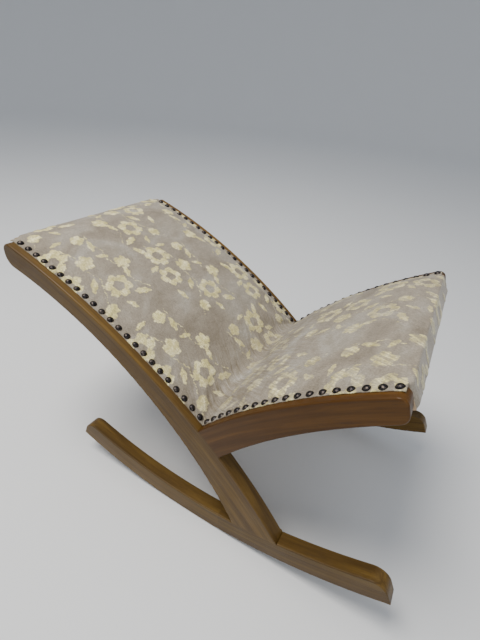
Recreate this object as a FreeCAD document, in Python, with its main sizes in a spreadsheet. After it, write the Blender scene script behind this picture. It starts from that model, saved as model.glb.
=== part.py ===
import FreeCAD, Part
import math
import os
import Sketcher
from FreeCAD import Placement, Rotation, Vector

# Rocking footstool: two curved side frames on rockers, tied by three cross rails, with a
# V-shaped upholstered top nailed along both sides.
#
# Every side piece is drawn in one upright plane about the centre of the rocker's arc, so that
# x runs towards the short front arm and z runs up. The whole stool then leans about that same
# centre until its centre of mass stands over the point where the rockers touch the floor.

DIMENSIONS = {
    # overall
    "overall_width": 342,
    "board_thickness": 22,
    "arris_round": 2.2,
    "stool_lean": -4.8,
    "rocker_centre_x": 22.25,
    # rockers
    "rocker_radius": 668,
    "rocker_depth": 35,
    "rocker_back_x": -274.7,
    "rocker_front_x": 245.3,
    "rocker_nose_round": 20,
    "rocker_arris_round": 1.6,
    # long side rails, which run down to the rockers as posts
    "rail_top_radius": 945,
    "rail_top_centre_x": -671.4,
    "rail_top_centre_z": -1171.9,
    "rail_post_radius": 751,
    "rail_post_centre_x": -539.7,
    "rail_post_centre_z": -1029.4,
    "rail_back_radius": 643,
    "rail_back_centre_x": -547.2,
    "rail_back_centre_z": -930.3,
    "rail_tip_top_x": -361.7,
    "rail_tip_bottom_x": -363.7,
    "rail_tip_top_round": 11,
    "rail_tip_bottom_round": 21,
    "foot_toe_z": -629.2,
    "foot_heel_z": -632.8,
    # short front arms
    "arm_top_radius": 758,
    "arm_top_centre_x": 513.5,
    "arm_top_centre_z": -1007.9,
    "arm_under_radius": 723.7,
    "arm_under_centre_x": 550.4,
    "arm_under_centre_z": -984.1,
    "arm_end_top_x": 198.3,
    "arm_end_under_x": 206.3,
    "arm_end_top_round": 9,
    "arm_end_under_round": 12,
    # cross rails, each a board as wide as the gap between the side frames
    "cross_rail_round": 6,
    "top_rail_height": 22,
    "top_rail_thickness": 16,
    "front_rail_height": 27,
    "front_rail_thickness": 46,
    "crotch_rail_height": 24,
    "crotch_rail_thickness": 44,
    # dowels
    "dowel_diameter": 8,
    "dowel_length": 36,
    "cross_dowel_length": 34,
    "cross_dowel_grip": 14,
    # webbing and hessian lie in a shallow bed cut along the top inner arrises
    "bed_clearance": 0.3,
    "bed_width": 4.8,
    "webbing_thickness": 1.2,
    "webbing_width": 50,
    "hessian_thickness": 0.8,
    "long_strap_count": 5,
    "long_strap_pitch": 4.4,
    "long_strap_first": 21.6,
    "short_strap_count": 3,
    "short_strap_pitch": 6.1,
    "short_strap_first": -44.2,
    # stuffing and cover
    "cover_end_gap": 4,
    "cover_end_drop": 27,
    "stuffing_edge": 0.6,
    "stuffing_crown": 13,
    "cover_thickness": 1,
    "cover_margin": 11,
    # dome-headed nails along the sides, and flat tacks under the cover's two ends
    "nail_inset": 16,
    "nail_head_diameter": 9.6,
    "nail_head_height": 3.1,
    "nail_pin_diameter": 1.4,
    "nail_pin_length": 10,
    "nail_lift": 1.7,
    "rail_nail_first": 20.34,
    "rail_nail_pitch": 0.99,
    "rail_nail_count": 23,
    "arm_nail_first": -45.2,
    "arm_nail_pitch": 1.17,
    "arm_nail_count": 18,
    "tack_head_diameter": 6,
    "tack_head_height": 0.8,
    "tack_pitch": 36,
    "tack_count": 8,
}

SHEET = "dimensions"
JOINT_LAND = 4
FOOT_SPARE = 6
HOUSING_REACH = 12
BEHIND_CROTCH = 14

doc = FreeCAD.newDocument("rocking_footstool")


# ---------------------------------------------------------------- the sheet of dimensions

def fill_sheet():
    """Put each driving dimension in a cell of its own, with its name as the alias."""
    made = doc.addObject("Spreadsheet::Sheet", SHEET)
    for row, (alias, value) in enumerate(DIMENSIONS.items(), start=1):
        made.set("A%d" % row, alias)
        made.set("B%d" % row, str(value))
        made.setAlias("B%d" % row, alias)
    doc.recompute()
    return made


sheet = fill_sheet()


class Size:
    """A length that knows both its value and the expression that works it out."""

    def __init__(self, text, value):
        self.text = text
        self.value = value

    def mixed(self, sign, other, work):
        if not isinstance(other, Size):
            other = Size(repr(other), other)
        return Size("(%s %s %s)" % (self.text, sign, other.text), work(self.value, other.value))

    def __add__(self, other):
        return self.mixed("+", other, lambda a, b: a + b)

    def __sub__(self, other):
        return self.mixed("-", other, lambda a, b: a - b)

    def __mul__(self, other):
        return self.mixed("*", other, lambda a, b: a * b)

    def __truediv__(self, other):
        return self.mixed("/", other, lambda a, b: a / b)

    def __neg__(self):
        return Size("(0 - %s)" % self.text, -self.value)


def cell(alias):
    """One cell of the sheet."""
    return Size("%s.%s" % (SHEET, alias), float(sheet.get(alias)))


def dim(alias):
    return cell(alias).value


# ---------------------------------------------------------------- placing things

def lean_about_rocker():
    """Carries the drawing plane, whose origin is the rocker's centre, to the stool's place."""
    standing = Vector(dim("rocker_centre_x"), 0, dim("rocker_radius"))
    return Placement(standing, Rotation(Vector(0, 1, 0), dim("stool_lean")))


STOOL = lean_about_rocker()
SIDES = {"left": 1, "right": -1}
HALF_WIDTH = cell("overall_width") / 2
INNER = HALF_WIDTH - cell("board_thickness")
BOARD_Y = (HALF_WIDTH - cell("board_thickness") / 2).value
NAIL_Y = (HALF_WIDTH - cell("nail_inset")).value
BED_DEPTH = cell("webbing_thickness") + cell("hessian_thickness")


def placed(x, y, z, rotation=None):
    """The placement of something drawn at its own origin, put at a point of the drawing."""
    return STOOL.multiply(Placement(Vector(x, y, z), rotation or Rotation()))


def turned(degrees):
    """Turns the upright direction towards +x by so many degrees."""
    return Rotation(Vector(0, 1, 0), degrees)


def pointing(direction):
    """Turns the z axis to point along a direction of the drawing."""
    return Rotation(Vector(0, 0, 1), direction)


# ---------------------------------------------------------------- points of the side frame

class Arc:
    """A circle of the drawing, by its radius and centre."""

    def __init__(self, radius, x, z):
        self.radius = radius
        self.centre = Vector(x, 0, z)

    def at_x(self, x):
        return Vector(x, 0, self.centre.z + math.sqrt(self.radius ** 2 - (x - self.centre.x) ** 2))

    def at_z(self, z):
        return Vector(self.centre.x + math.sqrt(self.radius ** 2 - (z - self.centre.z) ** 2), 0, z)

    def turn_of(self, point):
        """How far the point lies round the circle from straight up, towards +x, in degrees."""
        ray = point - self.centre
        return math.degrees(math.atan2(ray.x, ray.z))

    def at_turn(self, degrees, depth=0):
        """The point so many degrees round, and so deep inside the circle."""
        angle = math.radians(degrees)
        return self.centre + Vector(math.sin(angle), 0, math.cos(angle)) * (self.radius - depth)

    def degrees_for(self, length):
        return math.degrees(length / self.radius)

    def meet(self, other):
        """The upper point where two circles cross."""
        between = other.centre - self.centre
        reach = between.Length
        along = (reach ** 2 + self.radius ** 2 - other.radius ** 2) / (2 * reach)
        across = math.sqrt(self.radius ** 2 - along ** 2)
        way = between / reach
        return self.centre + way * along + Vector(-way.z, 0, way.x) * across


def arc_from(name):
    """The circle whose radius and centre stand in the sheet under a common name."""
    return Arc(dim(name + "_radius"), dim(name + "_centre_x"), dim(name + "_centre_z"))


RAIL_TOP = arc_from("rail_top")
RAIL_POST = arc_from("rail_post")
RAIL_BACK = arc_from("rail_back")
ARM_TOP = arc_from("arm_top")
ARM_UNDER = arc_from("arm_under")

TIP_TOP = RAIL_TOP.at_x(dim("rail_tip_top_x"))
TIP_BOTTOM = RAIL_BACK.at_x(dim("rail_tip_bottom_x"))
ARM_END_TOP = ARM_TOP.at_x(dim("arm_end_top_x"))
ARM_END_UNDER = ARM_UNDER.at_x(dim("arm_end_under_x"))
CROTCH = RAIL_TOP.meet(ARM_TOP)
ARMPIT = RAIL_POST.meet(ARM_UNDER)
TOE = RAIL_POST.at_z(dim("foot_toe_z"))
HEEL = RAIL_BACK.at_z(dim("foot_heel_z"))


# ---------------------------------------------------------------- sketches

UP = Vector(0, 0, 1)


def origin_feature(body, role):
    for feature in body.Origin.OriginFeatures:
        if feature.Role == role:
            return feature
    raise ValueError("no origin feature with the role " + role)


def sketch_in(body, name, plane="XZ_Plane"):
    """A new sketch on one of the body's own origin planes."""
    sketch = body.newObject("Sketcher::SketchObject", name)
    sketch.AttachmentSupport = [(origin_feature(body, plane), "")]
    sketch.MapMode = "FlatFace"
    return sketch


def drive(sketch, size, kind, *where):
    """Add one dimension to the sketch and let the sheet hold its value."""
    index = sketch.addConstraint(Sketcher.Constraint(kind, *where, size.value))
    name = "size_%d" % index
    sketch.renameConstraint(index, name)
    sketch.setExpression("Constraints." + name, size.text)


def drive_point(sketch, geometry, end, across, up):
    """Hold one end of a line or arc at two sizes from the sketch's origin."""
    drive(sketch, across, "DistanceX", geometry, end)
    drive(sketch, up, "DistanceY", geometry, end)


def flat(point):
    """A point of the drawing in the sketch's own two coordinates."""
    return Vector(point.x, point.z, 0)


def draw_line(sketch, begin, end):
    return sketch.addGeometry(Part.LineSegment(flat(begin), flat(end)))


def draw_arc(sketch, arc, begin, end):
    """An arc that runs counter-clockwise from begin to end."""
    centre = flat(arc.centre)
    angles = []
    for point in (begin, end):
        ray = flat(point) - centre
        angles.append(math.atan2(ray.y, ray.x))
    if angles[1] < angles[0]:
        angles[1] += 2 * math.pi
    circle = Part.Circle(centre, UP, arc.radius)
    return sketch.addGeometry(Part.ArcOfCircle(circle, *angles))


def hold_arc(sketch, geometry, name):
    """Bind an arc's radius and centre to the cells that share a name."""
    drive(sketch, cell(name + "_radius"), "Radius", geometry)
    drive_point(sketch, geometry, 3, cell(name + "_centre_x"), cell(name + "_centre_z"))


def join(sketch, *corners):
    """Each corner is two ends, as (geometry, end, geometry, end)."""
    for corner in corners:
        sketch.addConstraint(Sketcher.Constraint("Coincident", *corner))


def draw_loop(sketch, corners):
    """A closed run of straight lines, joined end to end."""
    count = len(corners)
    lines = [draw_line(sketch, corners[i], corners[(i + 1) % count]) for i in range(count)]
    join(sketch, *[(lines[i], 2, lines[(i + 1) % count], 1) for i in range(count)])
    return lines


def draw_rectangle(sketch, low_x, low_z, high_x, high_z):
    """A rectangle whose two opposite corners follow the sheet."""
    lows = (low_x.value, low_z.value)
    highs = (high_x.value, high_z.value)
    corners = [Vector(x, 0, z) for x, z in
               (lows, (highs[0], lows[1]), highs, (lows[0], highs[1]))]
    lines = draw_loop(sketch, corners)
    for index, way in enumerate(("Horizontal", "Vertical", "Horizontal", "Vertical")):
        sketch.addConstraint(Sketcher.Constraint(way, lines[index]))
    drive_point(sketch, lines[0], 1, low_x, low_z)
    drive_point(sketch, lines[2], 1, high_x, high_z)


# ---------------------------------------------------------------- features

def make_body(label):
    body = doc.addObject("PartDesign::Body", label)
    body.Label = label
    return body


def pad_both_ways(body, sketch, length):
    """Thicken a sketch by a size, half to each side of its plane."""
    pad = body.newObject("PartDesign::Pad", "board")
    pad.Profile = sketch
    pad.SideType = "Symmetric"
    pad.setExpression("Length", length.text)
    doc.recompute()


def cut_both_ways(body, sketch, length):
    before = body.Shape.Volume
    pocket = body.newObject("PartDesign::Pocket", "pocket")
    pocket.Profile = sketch
    pocket.SideType = "Symmetric"
    pocket.setExpression("Length", length.text)
    doc.recompute()
    if body.Shape.Volume >= before:
        raise RuntimeError(body.Label + ": the pocket cut nothing")


def round_edges(body, chosen, radius, name):
    """Fillet the edges of the body's newest feature that a test picks."""
    base = body.Tip
    names = ["Edge%d" % (i + 1) for i, edge in enumerate(base.Shape.Edges) if chosen(edge)]
    if not names:
        raise RuntimeError("%s: no edge to round for %s" % (body.Label, name))
    fillet = body.newObject("PartDesign::Fillet", name)
    fillet.Base = (base, names)
    fillet.setExpression("Radius", radius.text)
    doc.recompute()


def spin(body, sketch, degrees, axis="Y_Axis"):
    """Revolve a section about one of the body's own axes."""
    turn = body.newObject("PartDesign::Revolution", "turn")
    turn.Profile = sketch
    turn.ReferenceAxis = (origin_feature(body, axis), [""])
    turn.Angle = degrees
    doc.recompute()
    return turn


def repeat_round(body, feature, pitch, count):
    """Repeat a feature about the body's own y axis, one pitch apart."""
    pattern = body.newObject("PartDesign::PolarPattern", "row")
    pattern.Originals = [feature]
    pattern.Axis = (origin_feature(body, "Y_Axis"), [""])
    pattern.Mode = "Extent"
    pattern.setExpression("Angle", (pitch * (count - 1)).text)
    pattern.setExpression("Occurrences", count.text)
    body.Tip = pattern
    doc.recompute()


def crosses(edge, point):
    """True of a straight edge that runs across the board through a point of the drawing."""
    middle = edge.CenterOfMass
    ends = [vertex.Point for vertex in edge.Vertexes]
    across = len(ends) == 2 and abs(ends[0].y - ends[1].y) > 1
    return across and math.hypot(middle.x - point.x, middle.z - point.z) < 0.5


def on_side_face(edge):
    """True of an edge that lies in one of a board's two flat faces."""
    half = dim("board_thickness") / 2
    places = [vertex.Point for vertex in edge.Vertexes] + [edge.CenterOfMass]
    return all(abs(abs(place.y) - half) < 0.01 for place in places)


def far_from(edge, begin, end):
    """True if the middle of an edge is well away from the line between two points."""
    middle = edge.valueAt((edge.FirstParameter + edge.LastParameter) / 2)
    middle.y = 0
    line = end - begin
    along = max(0, min(1, (middle - begin).dot(line) / line.dot(line)))
    return (middle - begin - line * along).Length > 2


def group(label, members):
    """Loose pieces of one kind, kept together as separate solids."""
    made = doc.addObject("Part::Compound", label)
    made.Label = label
    made.Links = members
    return made


def cut_out(label, base, tools):
    """A piece with room cut in it for the others."""
    room = group(label + "_room", tools)
    made = doc.addObject("Part::Cut", label)
    made.Label = label
    made.Base = base
    made.Tool = room
    made.Refine = False
    return made


# ---------------------------------------------------------------- side frames

def draw_rail(body, toe, heel):
    """The long rail's outline: top edge, post, a foot left over long, back edge and tip."""
    sketch = sketch_in(body, "outline")
    post_centre = CROTCH + (RAIL_TOP.centre - CROTCH) * (RAIL_POST.radius / RAIL_TOP.radius)
    post = Arc(RAIL_POST.radius, post_centre.x, post_centre.z)
    top_edge = draw_arc(sketch, RAIL_TOP, CROTCH, TIP_TOP)
    post_edge = draw_arc(sketch, post, toe, CROTCH)
    foot = draw_line(sketch, toe, heel)
    back_edge = draw_arc(sketch, RAIL_BACK, heel, TIP_BOTTOM)
    tip = draw_line(sketch, TIP_BOTTOM, TIP_TOP)
    join(sketch, (post_edge, 1, foot, 1), (foot, 2, back_edge, 1))
    join(sketch, (back_edge, 2, tip, 1), (tip, 2, top_edge, 2))
    sketch.addConstraint(Sketcher.Constraint("Tangent", top_edge, 1, post_edge, 2))
    hold_arc(sketch, top_edge, "rail_top")
    hold_arc(sketch, back_edge, "rail_back")
    drive(sketch, cell("rail_post_radius"), "Radius", post_edge)
    drive(sketch, cell("rail_post_centre_x"), "DistanceX", post_edge, 3)
    drive(sketch, cell("foot_toe_z") - FOOT_SPARE, "DistanceY", foot, 1)
    drive(sketch, cell("foot_heel_z") - FOOT_SPARE, "DistanceY", foot, 2)
    drive(sketch, cell("rail_tip_top_x"), "DistanceX", tip, 2)
    drive(sketch, cell("rail_tip_bottom_x"), "DistanceX", tip, 1)
    return sketch


def box_under_line(body, kind, begin, end, spare, height, name):
    """Add or take away a box under the line from begin to end, with some to spare all round."""
    box = body.newObject("PartDesign::" + kind, name)
    box.Length = (end - begin).Length + 2 * spare
    box.Height = height
    box.setExpression("Width", (cell("board_thickness") + 2 * spare).text)
    rotation = turned(math.degrees(math.atan2(begin.z - end.z, end.x - begin.x)))
    corner = begin + rotation.multVec(Vector(-spare, 0, -height))
    corner.y = -dim("board_thickness") / 2 - spare
    box.Placement = Placement(corner, rotation)
    body.Tip = box
    doc.recompute()


def bring_back_arrises(body, name, low, high):
    """Fill the post's front edge out square again between two of its points."""
    sketch = sketch_in(body, name)
    inner = Arc(RAIL_POST.radius - JOINT_LAND, RAIL_POST.centre.x, RAIL_POST.centre.z)
    shrink = inner.radius / RAIL_POST.radius
    deep = [RAIL_POST.centre + (point - RAIL_POST.centre) * shrink for point in (low, high)]
    edge = draw_arc(sketch, RAIL_POST, low, high)
    floor = draw_arc(sketch, inner, deep[0], deep[1])
    top = draw_line(sketch, high, deep[1])
    bottom = draw_line(sketch, deep[0], low)
    join(sketch, (edge, 2, top, 1), (top, 2, floor, 2), (floor, 1, bottom, 1), (bottom, 2, edge, 1))
    hold_arc(sketch, edge, "rail_post")
    join(sketch, (floor, 3, edge, 3))
    drive(sketch, cell("rail_post_radius") - JOINT_LAND, "Radius", floor)
    for line in (top, bottom):
        sketch.addConstraint(Sketcher.Constraint("PointOnObject", edge, 3, line))
    drive(sketch, Size(repr(high.x), high.x), "DistanceX", edge, 2)
    drive(sketch, Size(repr(low.x), low.x), "DistanceX", edge, 1)
    pad_both_ways(body, sketch, cell("board_thickness"))


def make_long_rail(side):
    body = make_body("long_rail_%s_blank" % side)
    toe = RAIL_POST.at_z(TOE.z - FOOT_SPARE)
    heel = RAIL_BACK.at_z(HEEL.z - FOOT_SPARE)
    pad_both_ways(body, draw_rail(body, toe, heel), cell("board_thickness"))
    round_edges(body, lambda edge: crosses(edge, TIP_TOP), cell("rail_tip_top_round"), "tip_top")
    round_edges(body, lambda edge: crosses(edge, TIP_BOTTOM), cell("rail_tip_bottom_round"),
                "tip_bottom")
    round_edges(body, lambda edge: on_side_face(edge) and far_from(edge, toe, heel),
                cell("arris_round"), "arrises")
    bring_back_arrises(body, "arm_joint", ARMPIT, CROTCH)
    bring_back_arrises(body, "toe", toe, RAIL_POST.at_z(TOE.z + FOOT_SPARE))
    box_under_line(body, "SubtractiveBox", HEEL, TOE, FOOT_SPARE, 3 * FOOT_SPARE, "foot_trim")
    body.Placement = placed(0, SIDES[side] * BOARD_Y, 0)
    return body


def make_short_arm(side):
    """The front arm, whose back end is cut to the curve of the long rail."""
    body = make_body("short_arm_%s_blank" % side)
    sketch = sketch_in(body, "outline")
    top_edge = draw_arc(sketch, ARM_TOP, ARM_END_TOP, CROTCH)
    under_edge = draw_arc(sketch, ARM_UNDER, ARM_END_UNDER, ARMPIT)
    butt = draw_arc(sketch, RAIL_POST, ARMPIT, CROTCH)
    end = draw_line(sketch, ARM_END_UNDER, ARM_END_TOP)
    join(sketch, (top_edge, 2, butt, 2), (butt, 1, under_edge, 2))
    join(sketch, (under_edge, 1, end, 1), (end, 2, top_edge, 1))
    hold_arc(sketch, top_edge, "arm_top")
    hold_arc(sketch, under_edge, "arm_under")
    hold_arc(sketch, butt, "rail_post")
    drive(sketch, cell("arm_end_top_x"), "DistanceX", end, 2)
    drive(sketch, cell("arm_end_under_x"), "DistanceX", end, 1)
    pad_both_ways(body, sketch, cell("board_thickness"))
    round_edges(body, lambda edge: crosses(edge, ARM_END_TOP), cell("arm_end_top_round"),
                "end_top")
    round_edges(body, lambda edge: crosses(edge, ARM_END_UNDER), cell("arm_end_under_round"),
                "end_under")
    round_edges(body, lambda edge: on_side_face(edge) and far_from(edge, CROTCH, ARMPIT),
                cell("arris_round"), "arrises")
    body.Placement = placed(0, SIDES[side] * BOARD_Y, 0)
    return body


def draw_rocker(body, corners):
    """Two arcs about one centre and two ends that point at it."""
    sketch = sketch_in(body, "outline")
    outer = Arc(dim("rocker_radius"), 0, 0)
    inner = Arc(outer.radius - dim("rocker_depth"), 0, 0)
    for name in ("back", "front"):
        low_x = dim("rocker_%s_x" % name)
        low = Vector(low_x, 0, -math.sqrt(outer.radius ** 2 - low_x ** 2))
        corners[name] = (low, low * (inner.radius / outer.radius))
    under = draw_arc(sketch, outer, corners["back"][0], corners["front"][0])
    top = draw_arc(sketch, inner, corners["back"][1], corners["front"][1])
    back = draw_line(sketch, corners["back"][1], corners["back"][0])
    front = draw_line(sketch, corners["front"][0], corners["front"][1])
    join(sketch, (back, 2, under, 1), (under, 2, front, 1))
    join(sketch, (front, 2, top, 2), (top, 1, back, 1), (under, 3, -1, 1), (top, 3, -1, 1))
    for line in (back, front):
        sketch.addConstraint(Sketcher.Constraint("PointOnObject", -1, 1, line))
    drive(sketch, cell("rocker_radius"), "Radius", under)
    drive(sketch, cell("rocker_radius") - cell("rocker_depth"), "Radius", top)
    drive(sketch, cell("rocker_back_x"), "DistanceX", under, 1)
    drive(sketch, cell("rocker_front_x"), "DistanceX", under, 2)
    return sketch


def draw_housing(body):
    """The shallow notch that the post's foot stands in, closed by a step at the toe."""
    sketch = sketch_in(body, "housing")
    floor = (TOE - HEEL).normalize()
    rise = Vector(-floor.z, 0, floor.x) * HOUSING_REACH
    lines = draw_loop(sketch, [HEEL, TOE, TOE + rise, HEEL + rise])
    for index in range(3):
        sketch.addConstraint(Sketcher.Constraint("Perpendicular", lines[index], lines[index + 1]))
    drive_point(sketch, lines[0], 1, foot_x("rail_back", "foot_heel_z"), cell("foot_heel_z"))
    drive_point(sketch, lines[0], 2, foot_x("rail_post", "foot_toe_z"), cell("foot_toe_z"))
    drive(sketch, Size(repr(HOUSING_REACH), HOUSING_REACH), "Distance", lines[1])
    return sketch


def foot_x(arc, height):
    """How far along a point lies that is on one of the rail's arcs at a given height."""
    radius = cell(arc + "_radius")
    drop = cell(height) - cell(arc + "_centre_z")
    square = radius * radius - drop * drop
    root = Size("sqrt(%s)" % square.text, math.sqrt(square.value))
    return cell(arc + "_centre_x") + root


def make_rocker(side):
    """The bent foot, with rounded noses and a housing for the post."""
    body = make_body("rocker_%s_blank" % side)
    corners = {}
    pad_both_ways(body, draw_rocker(body, corners), cell("board_thickness"))
    for name, (low, high) in corners.items():
        round_edges(body, lambda edge: crosses(edge, high), cell("rocker_nose_round"),
                    name + "_nose")
    round_edges(body, on_side_face, cell("rocker_arris_round"), "arrises")
    box_under_line(body, "AdditiveBox", HEEL, TOE, 0, JOINT_LAND, "foot_land")
    cut_both_ways(body, draw_housing(body), cell("board_thickness"))
    body.Placement = placed(0, SIDES[side] * BOARD_Y, 0)
    return body


# ---------------------------------------------------------------- cross rails and dowels

class CrossRail:
    """A board between the side frames, lying under the curve of the boards' top edges."""

    def __init__(self, name, arc, point, shift, peg_spread, wrapped=0):
        self.name = name
        self.height = cell(name + "_height")
        self.thickness = cell(name + "_thickness")
        depth = BED_DEPTH.value + self.height.value / 2
        self.turn = arc.turn_of(point) + arc.degrees_for(shift)
        self.centre = arc.at_turn(self.turn, depth)
        self.along = turned(self.turn).multVec(Vector(1, 0, 0))
        self.outward = turned(self.turn).multVec(Vector(0, 0, 1))
        self.peg_spread = peg_spread
        self.wrapped = wrapped

    def make_board(self):
        """The board; the long edge that cloth wraps is rounded."""
        body = make_body(self.name + "_blank")
        sketch = sketch_in(body, "section")
        high_x = self.thickness / 2
        high_z = self.height / 2
        draw_rectangle(sketch, -high_x, -high_z, high_x, high_z)
        pad_both_ways(body, sketch, INNER * 2)
        if self.wrapped:
            edge_at = Vector(self.wrapped * high_x.value, 0, high_z.value)
            round_edges(body, lambda edge: crosses(edge, edge_at), cell("cross_rail_round"),
                        "wrapped_edge")
        body.Placement = placed(self.centre.x, 0, self.centre.z, turned(self.turn))
        return body

    def make_dowels(self):
        """Two pegs in each end."""
        reach = INNER.value + dim("cross_dowel_grip") - dim("cross_dowel_length") / 2
        spread = self.along * self.peg_spread
        middles = [self.centre + spread * way + Vector(0, y, 0)
                   for y in (-reach, reach) for way in (-1, 1)]
        return make_dowels(self.name + "_dowels", middles, Vector(0, 1, 0),
                           "cross_dowel_length")


def make_dowels(label, middles, direction, length):
    """Round pegs of one size, each centred on a point and all pointing one way."""
    pegs = []
    for middle in middles:
        peg = doc.addObject("Part::Cylinder", label + "_peg")
        peg.setExpression("Radius", (cell("dowel_diameter") / 2).text)
        peg.setExpression("Height", cell(length).text)
        start = middle - direction * (dim(length) / 2)
        peg.Placement = placed(start.x, start.y, start.z, pointing(direction))
        pegs.append(peg)
    return group(label, pegs)


def make_joint_dowels(label, begin, end, side):
    """Two pegs across the joint whose line runs between two points."""
    line = end - begin
    across = Vector(-line.z, 0, line.x).normalize()
    middles = [begin + line * part + Vector(0, SIDES[side] * BOARD_Y, 0) for part in (0.3, 0.7)]
    return make_dowels(label, middles, across, "dowel_length")


# ---------------------------------------------------------------- soft layers

class Panel:
    """One half of the upholstered top, on the curved top edges of two boards."""

    def __init__(self, name, arc, first_turn, last_turn, open_end):
        self.name = name
        self.radius = cell(arc)
        self.circle = arc_from(arc.replace("_radius", ""))
        self.first_turn = first_turn
        self.span = last_turn - first_turn
        self.open_end = open_end

    def seat(self, body, turn):
        """Put a body drawn about the arc's centre where the arc lies, turned to its start."""
        centre = self.circle.centre
        body.Placement = placed(centre.x, 0, centre.z, turned(turn))
        return body


def draw_crowned(sketch, half, low, edge, crown):
    """A section with a flat foot, low sides and an arched top."""
    foot = draw_line(sketch, Vector(-half.value, 0, low.value), Vector(half.value, 0, low.value))
    high = low + edge
    right = draw_line(sketch, Vector(half.value, 0, low.value), Vector(half.value, 0, high.value))
    left = draw_line(sketch, Vector(-half.value, 0, high.value), Vector(-half.value, 0, low.value))
    radius = (half * half + crown * crown) / (crown * 2)
    middle = high + crown - radius
    top = draw_arc(sketch, Arc(radius.value, 0, middle.value),
                   Vector(half.value, 0, high.value), Vector(-half.value, 0, high.value))
    join(sketch, (foot, 2, right, 1), (right, 2, top, 1), (top, 2, left, 1), (left, 2, foot, 1))
    drive_point(sketch, foot, 1, -half, low)
    drive_point(sketch, right, 1, half, low)
    drive_point(sketch, top, 1, half, high)
    drive(sketch, -half, "DistanceX", top, 2)
    sketch.addConstraint(Sketcher.Constraint("PointOnObject", top, 3, -2))
    drive(sketch, radius, "Radius", top)


def draw_cover(sketch, panel):
    """The cover's section: flat margins on the boards and an arched skin over the stuffing."""
    half = INNER + cell("stuffing_edge")
    edge = HALF_WIDTH - cell("cover_margin")
    thick = cell("cover_thickness")
    low = panel.radius
    under = low + cell("stuffing_edge")
    crown = cell("stuffing_crown")
    radius = (half * half + crown * crown) / (crown * 2)
    inner_arc = Arc(radius.value, 0, (under + crown - radius).value)
    outer_arc = Arc(radius.value, 0, (under + crown - radius + thick).value)

    def point(across, up):
        return Vector(across.value, 0, up.value)

    over = under + thick
    inner = draw_arc(sketch, inner_arc, point(half, under), point(-half, under))
    outer = draw_arc(sketch, outer_arc, point(half, over), point(-half, over))
    chains = {}
    for name, way in (("right", 1), ("left", -1)):
        here = half if way > 0 else -half
        far = edge if way > 0 else -edge
        stops = [(here, under), (here, low), (far, low), (far, low + thick), (here, over)]
        lines = [draw_line(sketch, point(*stops[i]), point(*stops[i + 1])) for i in range(4)]
        join(sketch, *[(lines[i], 2, lines[i + 1], 1) for i in range(3)])
        for line, stop in zip(lines, stops[:4]):
            drive_point(sketch, line, 1, *stop)
        drive_point(sketch, lines[3], 2, *stops[4])
        chains[name] = lines
    for name, end in (("right", 1), ("left", 2)):
        join(sketch, (inner, end, chains[name][0], 1), (outer, end, chains[name][3], 2))
    for arc in (inner, outer):
        drive(sketch, radius, "Radius", arc)


def make_layer(panel, label, reach, low, thickness):
    """A flat layer that follows the panel's curve, with some reach over each board."""
    body = make_body(label)
    sketch = sketch_in(body, "section", "YZ_Plane")
    half = INNER + reach
    bottom = panel.radius + low
    draw_rectangle(sketch, -half, bottom, half, bottom + thickness)
    spin(body, sketch, panel.span)
    return panel.seat(body, panel.first_turn)


def make_webbing(panel):
    """Straps from side to side, each folded into the bed of the two boards."""
    body = make_body("webbing_" + panel.name)
    sketch = sketch_in(body, "section", "YZ_Plane")
    half = INNER + cell("bed_width") - cell("bed_clearance")
    bottom = panel.radius - BED_DEPTH
    draw_rectangle(sketch, -half, bottom, half, bottom + cell("webbing_thickness"))
    strap = spin(body, sketch, panel.circle.degrees_for(dim("webbing_width")))
    repeat_round(body, strap, cell(panel.name + "_strap_pitch"),
                 cell(panel.name + "_strap_count"))
    return panel.seat(body, dim(panel.name + "_strap_first"))


def make_stuffing(panel):
    """The padding over one panel, before it is cut off at the crotch."""
    body = make_body("stuffing_%s_blank" % panel.name)
    sketch = sketch_in(body, "section", "YZ_Plane")
    half = INNER + cell("stuffing_edge")
    draw_crowned(sketch, half, panel.radius, cell("stuffing_edge"), cell("stuffing_crown"))
    spin(body, sketch, panel.span)
    return panel.seat(body, panel.first_turn)


def make_cover(panel):
    """The skin over one panel, with a thin wall that hangs down over the end cross rail."""
    body = make_body("cover_%s_blank" % panel.name)
    skin = sketch_in(body, "skin", "YZ_Plane")
    draw_cover(skin, panel)
    spin(body, skin, panel.span)
    panel.seat(body, panel.first_turn)
    wall = make_body("cover_%s_end" % panel.name)
    section = sketch_in(wall, "section", "YZ_Plane")
    drop = cell("cover_end_drop")
    thick = cell("cover_thickness")
    half = INNER - cell("bed_clearance")
    draw_crowned(section, half, panel.radius - drop, drop + cell("stuffing_edge") + thick,
                 cell("stuffing_crown"))
    thin = panel.circle.degrees_for(thick.value)
    spin(wall, section, thin)
    start = panel.first_turn - thin if panel.open_end == "first" else panel.first_turn + panel.span
    panel.seat(wall, start)
    return [body, wall]


def half_space(label, way):
    """Everything to one side of the upright plane through the crotch."""
    block = doc.addObject("Part::Box", label)
    reach = dim("overall_width") * 2
    for size in ("Length", "Width", "Height"):
        block.setExpression(size, (cell("overall_width") * 2).text)
    low_x = CROTCH.x if way > 0 else CROTCH.x - reach
    block.Placement = placed(low_x, -reach / 2, CROTCH.z - reach / 2)
    return block


# ---------------------------------------------------------------- nails and tacks

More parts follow.
